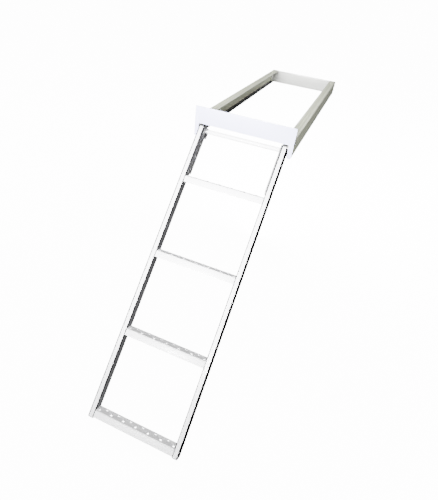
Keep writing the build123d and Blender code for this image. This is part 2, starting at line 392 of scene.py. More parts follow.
@dataclass(frozen=True)
class MouldedPlastic:
    """Plastic or rubber with a moulded texture and rubbed patches."""

    name: str
    colour: Colour
    rubbed: Colour
    roughness: float = 0.55
    patches_per_metre: float = 40.0
    gloss_per_metre: float = 55.0
    grain_per_metre: float = 700.0
    grain_depth: float = 0.08 * MM

    def build(self) -> bpy.types.Material:
        """Make the material.

        Returns:
            The finished material.
        """
        nodes = Nodes(self.name)
        patches = nodes.noise(self.patches_per_metre, 5.0)
        tone = nodes.ramp(patches, [(0.45, self.colour), (0.8, self.rubbed)])
        nodes.paint(nodes.blend(nodes.edge_mask(0.55, 0.7), tone, self.rubbed))
        nodes.polish(nodes.noise(self.gloss_per_metre, 3.0), self.roughness - 0.08, self.roughness + 0.12)
        nodes.bump([(nodes.noise(self.grain_per_metre, 3.0), self.grain_depth)])
        return nodes.material


@dataclass(frozen=True)
class StudioPaper:
    """Pale seamless floor that gives off its own soft light."""

    name: str = "studio_paper"
    colour: Colour = (0.4, 0.4, 0.4)
    shade: Colour = (0.394, 0.394, 0.394)
    glow: float = 14.0
    roughness: float = 0.9
    clouds_per_metre: float = 3.0
    fibres_per_metre: float = 300.0
    fibre_depth: float = 0.1 * MM

    def build(self) -> bpy.types.Material:
        """Make the material.

        Returns:
            The finished material.
        """
        nodes = Nodes(self.name)
        clouds = nodes.noise(self.clouds_per_metre, 2.0)
        nodes.paint(nodes.ramp(clouds, [(0.3, self.shade), (0.7, self.colour)]))
        nodes.shader.inputs["Roughness"].default_value = self.roughness
        nodes.shader.inputs["Emission Color"].default_value = (1.0, 1.0, 1.0, 1.0)
        nodes.shader.inputs["Emission Strength"].default_value = self.glow
        nodes.bump([(nodes.noise(self.fibres_per_metre, 2.0), self.fibre_depth)])
        return nodes.material


def grey(level: float, blue: float = 0.0) -> Colour:
    """Grey colour.

    Args:
        level: How light it is.
        blue: How much more blue it has than red and green.

    Returns:
        The colour's red, green and blue.
    """
    return (level, level, level + blue)


class Finishes:
    """All finishes of the ladder, each made once."""

    def __init__(self) -> None:
        """Make every material."""
        self.coats()
        self.metals()
        self.plastics()

    def coats(self) -> None:
        """Make the painted finishes, with the coats that paint shade and a highlight."""
        matt = {"roughness": 0.6, "coat": 0.0, "specular": 0.0}
        self.white = PowderCoat("white_coat", grey(0.90, 0.015), grey(0.86, 0.02)).build()
        self.fascia = PowderCoat("fascia_coat", (0.60, 0.61, 0.84), (0.57, 0.58, 0.81)).build()
        # Tread nosing: a glossier coat, and a lighter colour than the white coat, which paints a highlight on
        # the bend.
        self.nosing = PowderCoat(
            "nosing_gloss_and_highlight", grey(0.96, 0.01), grey(0.94, 0.01), roughness=0.25, coat=0.8
        ).build()
        # Tread tops: a grey coat that paints the shade on the tops, which face away from the front light.
        self.tread_top_shade = PowderCoat(
            "tread_top_painted_shade", grey(0.60, 0.01), grey(0.54, 0.01), roughness=0.55, coat=0.0
        ).build()
        # Dark coat on the ladder rails' sides and the treads' rear folds: painted shade on faces that turn
        # away from the light.
        self.web = PowderCoat(
            "web_painted_shade", (0.13, 0.131, 0.135), (0.1, 0.101, 0.105), grey(0.3, 0.01),
            roughness=0.5, coat=0.0, specular=0.05,
        ).build()
        # Near-black coat: painted shade inside the ladder rails' channels, on their bends and along the outer
        # edge of their fronts.
        self.hollow_shade = PowderCoat(
            "hollow_painted_shade", grey(0.0034, 0.0002), grey(0.0024, 0.0002), grey(0.01), **matt
        ).build()
        # Near-black coat: painted shade on the front edge of the left pivot plate.
        self.plate_edge_shade = PowderCoat(
            "plate_edge_painted_shade", grey(0.02, 0.001), grey(0.016, 0.001), grey(0.05), **matt
        ).build()

    def metals(self) -> None:
        """Make the bare metal finishes."""
        self.rail = DrawnMetal(
            "mill_aluminium", (0.58, 0.61, 0.46), (0.48, 0.51, 0.37), Along.Y, metallic=0.5
        ).build()
        self.back = DrawnMetal(
            "back_aluminium", (0.58, 0.585, 0.56), (0.48, 0.485, 0.46), Along.X, metallic=0.5
        ).build()
        self.plate = DrawnMetal(
            "plate_aluminium", (0.34, 0.342, 0.345), (0.28, 0.282, 0.285), Along.Y
        ).build()
        self.zinc = DrawnMetal(
            "zinc_steel", (0.55, 0.56, 0.58), grey(0.42, 0.02), Along.X, metallic=1.0, roughness=0.3
        ).build()
        self.dark_steel = DrawnMetal(
            "dark_steel", grey(0.12, 0.005), grey(0.07, 0.005), Along.Z, grey(0.35, 0.01),
            metallic=0.9, roughness=0.4,
        ).build()

    def plastics(self) -> None:
        """Make the plastic and rubber finishes."""
        # Black strip plastic; its black also paints the shade on the lower part of the frame rails' channels.
        self.wear = MouldedPlastic("wear_strip_black_and_shade", grey(0.022), grey(0.06)).build()
        self.nylon = MouldedPlastic("shoe_nylon", grey(0.09, 0.002), grey(0.17), roughness=0.45).build()
        self.rubber = MouldedPlastic("stop_rubber", grey(0.008), grey(0.02), roughness=0.8).build()
        self.cap = MouldedPlastic("cap_plastic", grey(0.16, 0.005), grey(0.3), roughness=0.5).build()


# ---------------------------------------------------------------- shapes


def rounded(corners: list, radius: float, closed: bool = False, steps: int = 6) -> list:
    """Outline with its corners turned into arcs.

    Args:
        corners: Corner points, two numbers each.
        radius: Radius of every arc.
        closed: True for a closed outline, False for an open one whose two ends stay.
        steps: Straight stretches in each arc.

    Returns:
        The outline's points as vectors.
    """
    points = [Vector(corner) for corner in corners]
    count = len(points)
    outline = []
    for index, corner in enumerate(points):
        if not closed and index in (0, count - 1):
            outline.append(corner)
            continue
        before = (points[index - 1] - corner).normalized()
        after = (points[(index + 1) % count] - corner).normalized()
        half = before.angle(after) / 2
        centre = corner + (before + after).normalized() * (radius / math.sin(half))
        start = corner + before * (radius / math.tan(half)) - centre
        end = corner + after * (radius / math.tan(half)) - centre
        turn = start.angle_signed(end)
        for step in range(steps + 1):
            outline.append(centre + Matrix.Rotation(-turn * step / steps, 2) @ start)
    return outline


def thickened(path: list, wall: float) -> list:
    """Closed section of a folded sheet, from the path of its outer surface.

    Args:
        path: The outer surface's points, in order.
        wall: Sheet thickness, laid to the right of the path.

    Returns:
        The closed section's points.
    """
    inner = []
    for index, point in enumerate(path):
        normals = []
        for first, second in ((index - 1, index), (index, index + 1)):
            if first >= 0 and second < len(path):
                run = (path[second] - path[first]).normalized()
                normals.append(Vector((run.y, -run.x)))
        mean = sum(normals, Vector((0.0, 0.0))).normalized()
        inner.append(point + mean * (wall / mean.dot(normals[0])))
    return path + inner[::-1]


class Shape:
    """Mesh being made, out of prisms and turned solids."""

    def __init__(self, place: Matrix | None = None) -> None:
        """Start an empty shape.

        Args:
            place: Where the finished shape goes, if it isn't made in place.
        """
        self.mesh = bmesh.new()
        self.place = place or Matrix.Identity(4)

    def prism(self, section: list, along: Along, low: float, high: float) -> "Shape":
        """Add a section carried along an axis.

        Args:
            section: Closed outline: Y and Z along X, X and Z along Y, or X and Y along Z.
            along: The axis.
            low: Where the prism starts.
            high: Where it ends.

        Returns:
            The shape itself.
        """
        rings = []
        for level in (low, high):
            ring = []
            for first, second in section:
                numbers = [first, second]
                numbers.insert(along.value, level)
                ring.append(self.mesh.verts.new(numbers))
            rings.append(ring)
        near, far = rings
        self.mesh.faces.new(near)
        self.mesh.faces.new(far[::-1])
        for index in range(len(near)):
            after = (index + 1) % len(near)
            self.mesh.faces.new([near[index], far[index], far[after], near[after]])
        return self

    def turned(
        self, profile: list, centre: Vector, axis: Vector, ring: bool = False, sides: int = 32
    ) -> "Shape":
        """Add a profile turned round an axis.

        Args:
            profile: Radius and height of each point; a closed loop if ring is True.
            centre: The axis's origin.
            axis: The axis's direction.
            ring: True for a ring with a hole, False for a solid closed at both ends.
            sides: Flats round the axis.

        Returns:
            The shape itself.
        """
        rings = [self.circle(radius, centre, axis, height, sides) for radius, height in profile]
        return self.skin(rings, loop=ring)

    def circle(self, radius: float, centre: Vector, axis: Vector, height: float, sides: int) -> list:
        """Make a ring of vertices round an axis.

        Args:
            radius: The ring's radius.
            centre: The axis's origin.
            axis: The axis's direction.
            height: How far along the axis the ring lies.
            sides: Count of vertices.

        Returns:
            The vertices in order.
        """
        turn = axis.normalized().to_track_quat("Z", "Y").to_matrix()
        angles = [math.tau * step / sides for step in range(sides)]
        points = [Vector((radius * math.cos(angle), radius * math.sin(angle), height)) for angle in angles]
        return [self.mesh.verts.new(centre + turn @ point) for point in points]

    def drill(
        self, radius: float, centre: Vector, axis: Vector, reach: float = CUT_REACH, sides: int = 40
    ) -> "Shape":
        """Add a round bar, to cut a hole with.

        Args:
            radius: The hole's radius.
            centre: The middle of the bar.
            axis: The hole's direction.
            reach: How far the bar goes each way.
            sides: Flats round the bar.

        Returns:
            The shape itself.
        """
        return self.turned([(radius, -reach), (radius, reach)], centre, axis, sides=sides)

    def skin(self, rings: list, loop: bool = False) -> "Shape":
        """Join rings of vertices with faces.

        Args:
            rings: The rings, each with as many vertices as the next.
            loop: True to join the last ring to the first, False to close both ends with a face.

        Returns:
            The shape itself.
        """
        pairs = list(zip(rings, rings[1:]))
        if loop:
            pairs.append((rings[-1], rings[0]))
        for first, second in pairs:
            for index in range(len(first)):
                after = (index + 1) % len(first)
                self.mesh.faces.new([first[index], first[after], second[after], second[index]])
        if not loop:
            self.mesh.faces.new(rings[0][::-1])
            self.mesh.faces.new(rings[-1])
        return self

    def bead(self, path: list, radius: float, ripple: float, pitch: float) -> "Shape":
        """Add a weld bead: a round cord of metal with ripples.

        Args:
            path: Points that the bead follows.
            radius: Mean radius of the bead.
            ripple: How far the radius swings.
            pitch: Length of one ripple.

        Returns:
            The shape itself.
        """
        rings = []
        travelled = 0.0
        for start, end in zip(path, path[1:]):
            run = end - start
            steps = max(2, round(run.length / pitch * BEAD_RINGS))
            for step in range(steps + (end is path[-1])):
                share = step / steps
                swing = ripple * math.sin(math.tau * (travelled + run.length * share) / pitch)
                rings.append(self.circle(radius + swing, start.lerp(end, share), run, 0.0, BEAD_SIDES))
            travelled += run.length
        return self.skin(rings)

    def mirrored(self, hand: Hand) -> "Shape":
        """Flip the shape to the left if that is the hand.

        Args:
            hand: Side that the piece is on.

        Returns:
            The shape itself.
        """
        if hand is Hand.LEFT:
            bmesh.ops.scale(self.mesh, vec=(-1, 1, 1), verts=self.mesh.verts)
        return self

    def to_mesh(self, name: str) -> bpy.types.Mesh:
        """Turn the shape into mesh data, with its faces looking outwards.

        Args:
            name: The mesh's name.

        Returns:
            The mesh.
        """
        bmesh.ops.recalc_face_normals(self.mesh, faces=self.mesh.faces)
        data = bpy.data.meshes.new(name)
        self.mesh.to_mesh(data)
        self.mesh.free()
        return data


@dataclass
class Piece:
    """One finished piece: its mesh is cut, its edges are eased, and it rides on a body."""

    name: str
    body: Body
    slot: Slot
    nodes: tuple[str, ...]
    ease: float = 0.0005
    ease_angle: float = 35.0

    def make(
        self,
        shape: Shape,
        finish: bpy.types.Material,
        cutter: Shape | None = None,
        extra: Shape | None = None,
        others: tuple[tuple[bpy.types.Material, FaceTest], ...] = (),
    ) -> bpy.types.Object:
        """Build the piece and put it on its body.

        Args:
            shape: The piece's main solid.
            finish: The main finish.
            cutter: What is cut away from the main solid.
            extra: Parts added after the cut and the easing, such as beads.
            others: Further finishes, each with a test that takes a face's normal and centre.

        Returns:
            The finished object.
        """
        data = self.cut_and_eased(shape, cutter)
        if extra is not None:
            joined = bmesh.new()
            joined.from_mesh(data)
            joined.from_mesh(extra.to_mesh(self.name + "_extra"))
            joined.to_mesh(data)
            joined.free()
        data.name = self.name
        data.materials.clear()
        data.materials.append(finish)
        for index, (other, test) in enumerate(others, start=1):
            data.materials.append(other)
            for face in data.polygons:
                if test(face.normal, face.center):
                    face.material_index = index
        data.transform(shape.place)
        data.polygons.foreach_set("use_smooth", [True] * len(data.polygons))
        data.set_sharp_from_angle(angle=math.radians(self.ease_angle))
        piece = bpy.data.objects.new(self.name, data)
        bpy.context.scene.collection.objects.link(piece)
        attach(piece, self.body.value)
        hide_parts(*self.nodes)
        log.info("%s: %d faces on %s", self.name, len(data.polygons), self.body.value)
        return piece

    def cut_and_eased(self, shape: Shape, cutter: Shape | None) -> bpy.types.Mesh:
        """Cut the main solid and ease its edges.

        Args:
            shape: The main solid.
            cutter: What is cut away from it, if anything is.

        Returns:
            The finished solid's mesh.
        """
        scene_objects = bpy.context.scene.collection.objects
        rough = bpy.data.objects.new(self.name + "_rough", shape.to_mesh(self.name))
        scene_objects.link(rough)
        helpers = [rough]
        if cutter is not None:
            tool = bpy.data.objects.new(self.name + "_tool", cutter.to_mesh(self.name + "_tool"))
            scene_objects.link(tool)
            helpers.append(tool)
            cut = rough.modifiers.new("cut", "BOOLEAN")
            cut.operation = "DIFFERENCE"
            cut.solver = "EXACT"
            cut.use_self = True
            cut.object = tool
        if self.ease > 0:
            bevel = rough.modifiers.new("ease", "BEVEL")
            bevel.width = self.ease
            bevel.segments = 2
            bevel.limit_method = "ANGLE"
            bevel.angle_limit = math.radians(self.ease_angle)
            bevel.use_clamp_overlap = True
        graph = bpy.context.evaluated_depsgraph_get()
        data = bpy.data.meshes.new_from_object(rough.evaluated_get(graph))
        for helper in helpers:
            bpy.data.objects.remove(helper)
        return data


def swung(place: Vector, degrees: float) -> Matrix:
    """Where a ladder piece goes, once it is made lying flat with the pivot at its origin.

    Args:
        place: The pivot.
        degrees: How far the ladder hangs down.

    Returns:
        The placement.
    """
    return Matrix.Translation(place) @ Matrix.Rotation(math.radians(degrees), 4, "X")


def metres(profile: tuple) -> list:
    """Profile in metres.

    Args:
        profile: Radius and height of each point, in millimetres.

    Returns:
        The same points in metres.
    """
    return [(radius * MM, height * MM) for radius, height in profile]


def box_outline(low: tuple, high: tuple) -> list:
    """Rectangle's corners.

    Args:
        low: Low corner.
        high: High corner.

    Returns:
        The four corners in order.
    """
    return [low, (high[0], low[1]), high, (low[0], high[1])]


# ---------------------------------------------------------------- frame


@dataclass
class UnderDeckFrame:
    """The frame that is bolted under the deck: side rails, fascia, back plate and wear strips."""

    half_width: float = 200 * MM
    front: float = -590 * MM
    back: float = 590 * MM
    rail_front: float = -587 * MM
    rail_height: float = 71 * MM
    rail_wall: float = 3 * MM
    rail_bend: float = 4.5 * MM
    top_flange: float = 36 * MM
    bottom_flange: float = 14 * MM
    deck_hole_radius: float = 4.5 * MM
    deck_hole_y: float = 500 * MM
    fascia_rise: float = 42 * MM
    fascia_drop: float = 21.97 * MM
    leg_drop: float = 73 * MM
    leg_inner: float = 183 * MM
    top_radius: float = 3 * MM
    leg_radius: float = 6.5 * MM
    inner_radius: float = 1 * MM
    tab_levels: tuple[float, float] = (-22 * MM, -10 * MM)
    tab_wall: float = 2.6 * MM
    tab_length: float = 14 * MM
    plate_rear: float = 587 * MM
    plate_wall: float = 3 * MM
    lip_front: float = 566 * MM
    lip_half: float = 163.7 * MM
    return_front: float = 562 * MM
    return_levels: tuple[float, float] = (-56 * MM, -12 * MM)
    strip_top: float = -58 * MM
    strip_wall: float = 3 * MM
    strip_ends: tuple[float, float] = (-585 * MM, 560 * MM)
    strip_relief: float = 2 * MM
    plate_gap: float = 0.2 * MM
    notch_gap: float = 0.3 * MM
    fascia_screws: tuple = ((-580 * MM, -16 * MM),)
    back_screws: tuple = ((573 * MM, -22 * MM), (573 * MM, -46 * MM))
    screw_hole_radius: float = 2.7 * MM
    screw_profile: tuple = (
        (2.4, -5.4), (2.4, 0.0), (4.6, 0.0), (4.6, 0.5), (4.3, 1.4), (3.6, 2.1), (2.4, 2.6)
    )
    screw_recess: tuple = ((1.55, 1.0), (1.55, 4.0))

    def build(self, finishes: Finishes) -> None:
        """Build every piece of the frame.

        Args:
            finishes: The ladder's finishes.
        """
        for hand in Hand:
            self.rail(hand, finishes)
            self.strip(hand, finishes)
        self.fascia(finishes)
        self.back_plate(finishes)
        self.screws("fascia_screws", self.fascia_screws, finishes.dark_steel)
        self.screws("back_plate_screws", self.back_screws, finishes.zinc)

    @property
    def web(self) -> float:
        """X of the inner side of a rail's web."""
        return self.half_width - self.rail_wall

    @property
    def floor(self) -> float:
        """Z of the upper side of a rail's bottom flange."""
        return self.rail_wall - self.rail_height

    def rail(self, hand: Hand, finishes: Finishes) -> None:
        """Side rail, a channel that opens towards the ladder.

        Args:
            hand: Side of the rail.
            finishes: The ladder's finishes.
        """
        corners = [
            (self.half_width - self.top_flange, 0.0),
            (self.half_width, 0.0),
            (self.half_width, -self.rail_height),
            (self.half_width - self.bottom_flange, -self.rail_height),
        ]
        section = thickened(rounded(corners, self.rail_bend), self.rail_wall)
        shape = Shape().prism(section, Along.Y, self.rail_front, self.back).mirrored(hand)
        cutter = Shape()
        hole_x = hand.value * (self.half_width - self.top_flange / 2)
        for y in (-self.deck_hole_y, self.deck_hole_y):
            cutter.drill(self.deck_hole_radius, Vector((hole_x, y, 0.0)), Z_AXIS, sides=24)
        for y, z in self.fascia_screws + self.back_screws:
            centre = Vector((hand.value * self.half_width, y, z))
            cutter.drill(self.screw_hole_radius, centre, X_AXIS, sides=16)
        name = f"{hand.word}_frame_rail"
        Piece(f"vis_{name}", Body.FRAME, Slot.MILL_ALUMINIUM, (name,), 0.3 * MM).make(
            shape, finishes.rail, cutter
        )

    def strip(self, hand: Hand, finishes: Finishes) -> None:
        """Low-friction strip on the floor and the web of a rail; its black also paints the shade in the lower
        part of the channel.

        Args:
            hand: Side of the strip.
            finishes: The ladder's finishes.
        """
        inner = self.half_width - self.bottom_flange
        face = self.web - self.strip_wall
        section = [
            (inner, self.floor),
            (self.web - self.strip_relief, self.floor),
            (self.web, self.floor + self.strip_relief),
            (self.web, self.strip_top),
            (face, self.strip_top),
            (face, self.floor + self.strip_wall),
            (inner, self.floor + self.strip_wall),
        ]
        shape = Shape().prism(section, Along.Y, *self.strip_ends).mirrored(hand)
        name = f"{hand.word}_wear_strip"
        Piece(f"vis_{name}", Body.FRAME, Slot.BLACK_NYLON, (name,), 0.5 * MM).make(shape, finishes.wear)

    def fascia(self, finishes: Finishes) -> None:
        """Front panel with two legs and a screw tab behind each end.

        Args:
            finishes: The ladder's finishes.
        """
        outer, inner = self.half_width, self.leg_inner
        corners = [(-outer, self.fascia_rise), (outer, self.fascia_rise), (outer, -self.leg_drop)]
        corners += [(inner, -self.leg_drop), (inner, -self.fascia_drop), (-inner, -self.fascia_drop)]
        corners += [(-inner, -self.leg_drop), (-outer, -self.leg_drop)]
        radii = {
            self.fascia_rise: self.top_radius,
            -self.leg_drop: self.leg_radius,
            -self.fascia_drop: self.inner_radius,
        }
        outline = []
        for index, corner in enumerate(corners):
            before, after = corners[index - 1], corners[(index + 1) % len(corners)]
            outline += rounded([before, corner, after], radii[corner[1]])[1:-1]
        shape = Shape().prism(outline, Along.Y, self.front, self.rail_front)
        tabs = Shape()
        tab = box_outline(
            (self.web - self.tab_wall, self.tab_levels[0]), (self.web, self.tab_levels[1])
        )
        for sign in (1, -1):
            flipped = [(sign * x, z) for x, z in tab]
            tabs.prism(flipped, Along.Y, self.rail_front, self.rail_front + self.tab_length)
        Piece("vis_fascia_panel", Body.FRAME, Slot.WHITE_COAT, ("fascia_panel",), 0.5 * MM).make(
            shape, finishes.fascia, extra=tabs
        )

    def back_plate(self, finishes: Finishes) -> None:
        """Rear cross plate with a folded top lip and two side returns.

        Args:
            finishes: The ladder's finishes.
        """
        path = [(self.lip_front, 0.0), (self.plate_rear, 0.0), (self.plate_rear, self.floor)]
        section = thickened(rounded(path, self.rail_bend), self.plate_wall)
        reach = self.web - self.plate_gap
        shape = Shape().prism(section, Along.X, -reach, reach)
        cutter = Shape()
        returns = Shape()
        for sign in (1, -1):
            corner = box_outline(
                (self.lip_half * sign, self.lip_front - CUT_REACH), (sign * self.half_width, self.back)
            )
            cutter.prism(corner, Along.Z, -self.plate_wall - self.notch_gap, CUT_REACH)
            side = box_outline(
                (sign * (self.web - self.tab_wall), self.return_front),
                (sign * reach, self.plate_rear - self.plate_wall),
            )
            returns.prism(side, Along.Z, *self.return_levels)
        Piece("vis_back_plate", Body.FRAME, Slot.MILL_ALUMINIUM, ("back_plate",), 0.3 * MM).make(
            shape, finishes.back, cutter, returns
        )

    def screws(self, name: str, places: tuple, finish: bpy.types.Material) -> None:
        """Button-head screws through both side rails, with hexagonal recesses.

        Args:
            name: Name of the group of screws.
            places: Y and Z of each screw.
            finish: The screws' finish.
        """
        shape, cutter = Shape(), Shape()
        for hand in Hand:
            for y, z in places:
                centre = Vector((hand.value * self.half_width, y, z))
                outward = X_AXIS * hand.value
                shape.turned(metres(self.screw_profile), centre, outward)
                cutter.turned(metres(self.screw_recess), centre, outward, sides=6)
        Piece(f"vis_{name}", Body.FRAME, Slot.ZINC_STEEL, (name,), 0.15 * MM).make(shape, finish, cutter)


# ---------------------------------------------------------------- carriage


@dataclass
class Carriage:
    """Two shoes that slide in the frame's rails, and the rod that they carry."""

    shoe_inner: float = 181 * MM
    shoe_outer: float = 193.7 * MM
    shoe_ends: tuple[float, float] = (-586.5 * MM, -536.5 * MM)
    shoe_levels: tuple[float, float] = (-64.7 * MM, -3.3 * MM)
    shoe_corner: float = 3 * MM
    bore_reach: float = 250 * MM
    rod_radius: float = 5 * MM
    rod_fit: float = 0.05 * MM
    rod_chamfer: float = 1 * MM
    groove_places: tuple[float, float] = (0.45, 0.75)
    groove_half_width: float = 1.5 * MM
    groove_depth: float = 1 * MM
    pivot: Vector = field(default_factory=lambda: Vector((0.0, -578 * MM, -52 * MM)))

    def build(self, finishes: Finishes) -> None:
        """Build the shoes and the rod.

        Args:
            finishes: The ladder's finishes.
        """
        for hand in Hand:
            self.shoe(hand, finishes)
        length, chamfer = self.shoe_outer, self.rod_chamfer
        profile = [
            (self.rod_radius - chamfer, -length),
            (self.rod_radius, -length + chamfer),
            (self.rod_radius, length - chamfer),
            (self.rod_radius - chamfer, length),
        ]
        rod = Shape().turned(profile, self.pivot, X_AXIS, sides=40)
        Piece("vis_pivot_rod", Body.CARRIAGE, Slot.ZINC_STEEL, ("pivot_rod",), 0.2 * MM).make(
            rod, finishes.zinc
        )

    def shoe(self, hand: Hand, finishes: Finishes) -> None:
        """Sliding shoe, bored for the rod, with two oil grooves in its outer face.

        Args:
            hand: Side of the shoe.
            finishes: The ladder's finishes.
        """
        low, high = self.shoe_levels
        near, far = self.shoe_ends
        outline = rounded(box_outline((near, low), (far, high)), self.shoe_corner, closed=True)
        shape = Shape().prism(outline, Along.X, self.shoe_inner, self.shoe_outer).mirrored(hand)
        cutter = Shape().drill(self.rod_radius + self.rod_fit, self.pivot, X_AXIS, self.bore_reach)
        outer = hand.value * self.shoe_outer
        depth, half = self.groove_depth, self.groove_half_width
        for share in self.groove_places:
            y = near + (far - near) * share
            groove = box_outline((outer - depth, y - half), (outer + depth, y + half))
            cutter.prism(groove, Along.Z, low - MM, high + MM)
        name = f"{hand.word}_slide_shoe"
        Piece(f"vis_{name}", Body.CARRIAGE, Slot.SHOE_NYLON, (name,), 0.5 * MM).make(
            shape, finishes.nylon, cutter
        )


# ---------------------------------------------------------------- ladder


@dataclass
class Ladder:
    """The swinging ladder: rails, pivot plates, treads, pads, caps and hook."""

    pivot: Vector = field(default_factory=lambda: Vector((0.0, -578 * MM, -52 * MM)))
    drop_degrees: float = 45.0
    half_width: float = 180 * MM
    rail_face: float = 21 * MM
    rail_wall: float = 2.5 * MM
    rail_bend: float = 3.6 * MM
    # Width of the strip of painted shade along the outer edge of a ladder rail's front.
    shade_edge: float = 4.0 * MM
    face: float = 24 * MM
    back: float = 11.5 * MM
    top: float = 16.07 * MM
    reach: float = 1155 * MM
    plate_wall: float = 5 * MM
    plate_inset: float = 1 * MM
    plate_reach: float = 184 * MM
    plate_corner: float = 9 * MM
    plate_end_corner: float = 3 * MM
    plate_front: float = 0.2
    rivets: tuple[float, ...] = (60 * MM, 115 * MM, 170 * MM)
    rivet_hole_radius: float = 2.45 * MM
    rivet_shank_radius: float = 2.4 * MM
    rivet_dome: tuple = ((4.5, 0.0), (4.5, 0.4), (4.1, 0.9), (3.3, 1.3), (2.0, 1.55), (0.8, 1.6))
    bush_hole_radius: float = 6.55 * MM
    bush_inner_radius: float = 5.05 * MM
    bush_outer_radius: float = 6.5 * MM
    bush_flange_radius: float = 7.8 * MM
    bush_flange: float = 2 * MM
    tube_inner_radius: float = 5.6 * MM
    tube_radius: float = 8 * MM
    hook_eye_radius: float = 11 * MM
    hook_width: float = 8 * MM
    hook_wall: float = 3 * MM
    hook_bend: float = 4 * MM
    hook_start: float = 9 * MM
    hook_length: float = 30 * MM
    tread_reaches: tuple[float, ...] = (203 * MM, 512 * MM, 821 * MM, 1130 * MM)
    tread_tilt: float = 20.0
    tread_wall: float = 2.5 * MM
    tread_bends: tuple[float, float] = (5 * MM, 3.5 * MM)
    tread_apron: float = 24 * MM
    tread_back: float = 7 * MM
    tread_back_margin: float = 2 * MM
    top_match: float = 0.98
    nosing_tilts: tuple[float, float] = (0.45, 0.97)
    rear_tilt: float = 0.25
    side_tilt: float = 0.5
    grip_rows: tuple[float, float] = (12.5 * MM, 26 * MM)
    grip_count: int = 13
    grip_radius: float = 4.05 * MM
    grip_end_margin: float = 8 * MM
    grip_collar: tuple = (
        (4.0, -1.2), (4.0, 0.9), (4.25, 1.3), (4.7, 1.38), (5.3, 1.0), (5.9, 0.3), (6.3, -0.2), (5.0, -1.2)
    )
    seam_margins: tuple[int, int] = (6, 5)
    seam_radius: float = 1.3 * MM
    seam_ripple: float = 0.15 * MM
    seam_pitch: float = 1.6 * MM
    cap_height: float = 3 * MM
    cap_corner: float = 3 * MM
    cap_plug: float = 12 * MM
    cap_gap: float = 2.65 * MM
    cap_rib_count: int = 5
    cap_rib_start: float = 5.5 * MM
    cap_rib_pitch: float = 6 * MM
    cap_rib_width: float = 2 * MM
    pad_height: float = 3.2 * MM
    pad_length: float = 10 * MM
    pad_corner: float = 1.2 * MM
    pad_groove_starts: tuple[float, float] = (2.5 * MM, 5.5 * MM)
    pad_groove_width: float = 1 * MM
    pad_groove_depth: float = 0.6 * MM

    def __post_init__(self) -> None:
        """Work out the places that follow from the sizes."""
        self.place = swung(self.pivot, self.drop_degrees)
        self.web = self.half_width - self.rail_face
        self.plate_inner = self.web - self.plate_wall
        self.rivet_level = (self.face - self.back) / 2

    def build(self, finishes: Finishes) -> None:
        """Build every piece of the ladder.

        Args:
            finishes: The ladder's finishes.
        """
        for hand in Hand:
            self.rail(hand, finishes)
            self.pivot_plate(hand, finishes)
            self.plate_rivets(hand, finishes)
            self.bush(hand, finishes)
            self.stop_pad(hand, finishes)
            self.foot_cap(hand, finishes)
        self.spacer(finishes)
        self.hook(finishes)
        for number, reach in enumerate(self.tread_reaches, start=1):
            self.tread(number, reach, finishes)

    def shape(self) -> Shape:
        """A new shape that is made lying flat and then swung down."""
        return Shape(self.place)

    def piece(self, name: str, slot: Slot, ease: float) -> Piece:
        """A piece of the ladder that stands for the solid of the same name.

        Args:
            name: The solid's name.
            slot: Its material slot.
            ease: Radius of its eased edges.

        Returns:
            The piece, ready to be made.
        """
        return Piece(f"vis_{name}", Body.LADDER, slot, (name,), ease)

    def cross_holes(self) -> Shape:
        """Cutter for the bush hole and the rivet holes of a rail or a pivot plate.

        Returns:
            The cutter.
        """
        cutter = Shape().drill(self.bush_hole_radius, ORIGIN, X_AXIS, CROSS_REACH)
        for reach in self.rivets:
            centre = Vector((0.0, -reach, self.rivet_level))
            cutter.drill(self.rivet_hole_radius, centre, X_AXIS, CROSS_REACH, sides=16)
        return cutter

    def rail(self, hand: Hand, finishes: Finishes) -> None:
        """Ladder rail, a channel that opens outwards: white in front, with a strip of painted shade along the
        front's outer edge, and painted shade elsewhere.

        Args:
            hand: Side of the rail.
            finishes: The ladder's finishes.
        """
        corners = [
            (self.half_width, -self.back),
            (self.web, -self.back),
            (self.web, self.face),
            (self.half_width, self.face),
        ]
        path = rounded(corners, self.rail_bend)
        path.insert(-1, Vector((self.half_width - self.shade_edge, self.face)))
        section = thickened(path, self.rail_wall)
        shape = self.shape().prism(section, Along.Y, -self.reach, self.top).mirrored(hand)
        inside = self.web + self.rail_wall / 2
        edge = self.half_width - self.shade_edge
        under_face = self.face - MM
        # Painted shade: the dark web coat on every face but the flat front, and the near-black coat on the
        # bends, inside the channel and along the front's outer edge.
        others = (
            (finishes.web, lambda normal, centre: normal.z < FLAT),
            (finishes.hollow_shade, lambda normal, centre: UPRIGHT < normal.z < FLAT),
            (finishes.hollow_shade, lambda normal, centre: abs(centre.x) > inside and centre.z < under_face),
            (finishes.hollow_shade, lambda normal, centre: abs(centre.x) > edge),
        )
        name = f"{hand.word}_ladder_rail"
        self.piece(name, Slot.WHITE_COAT, 0.3 * MM).make(
            shape, finishes.white, self.cross_holes(), others=others
        )

    def pivot_plate(self, hand: Hand, finishes: Finishes) -> None:
        """Pivot plate on the inside of a ladder rail's web; the left one has painted shade on its front edge.

        Args:
            hand: Side of the plate.
            finishes: The ladder's finishes.
        """
        low, high = -self.back + self.plate_inset, self.face - self.plate_inset
        corners = box_outline((-self.plate_reach, low), (self.top, high))
        outline = []
        for index, corner in enumerate(corners):
            radius = self.plate_corner if corner[0] > 0 else self.plate_end_corner
            outline += rounded([corners[index - 1], corner, corners[(index + 1) % 4]], radius)[1:-1]
        shape = self.shape().prism(outline, Along.X, self.plate_inner, self.web - FACE_GAP)
        name = f"{hand.word}_pivot_plate"
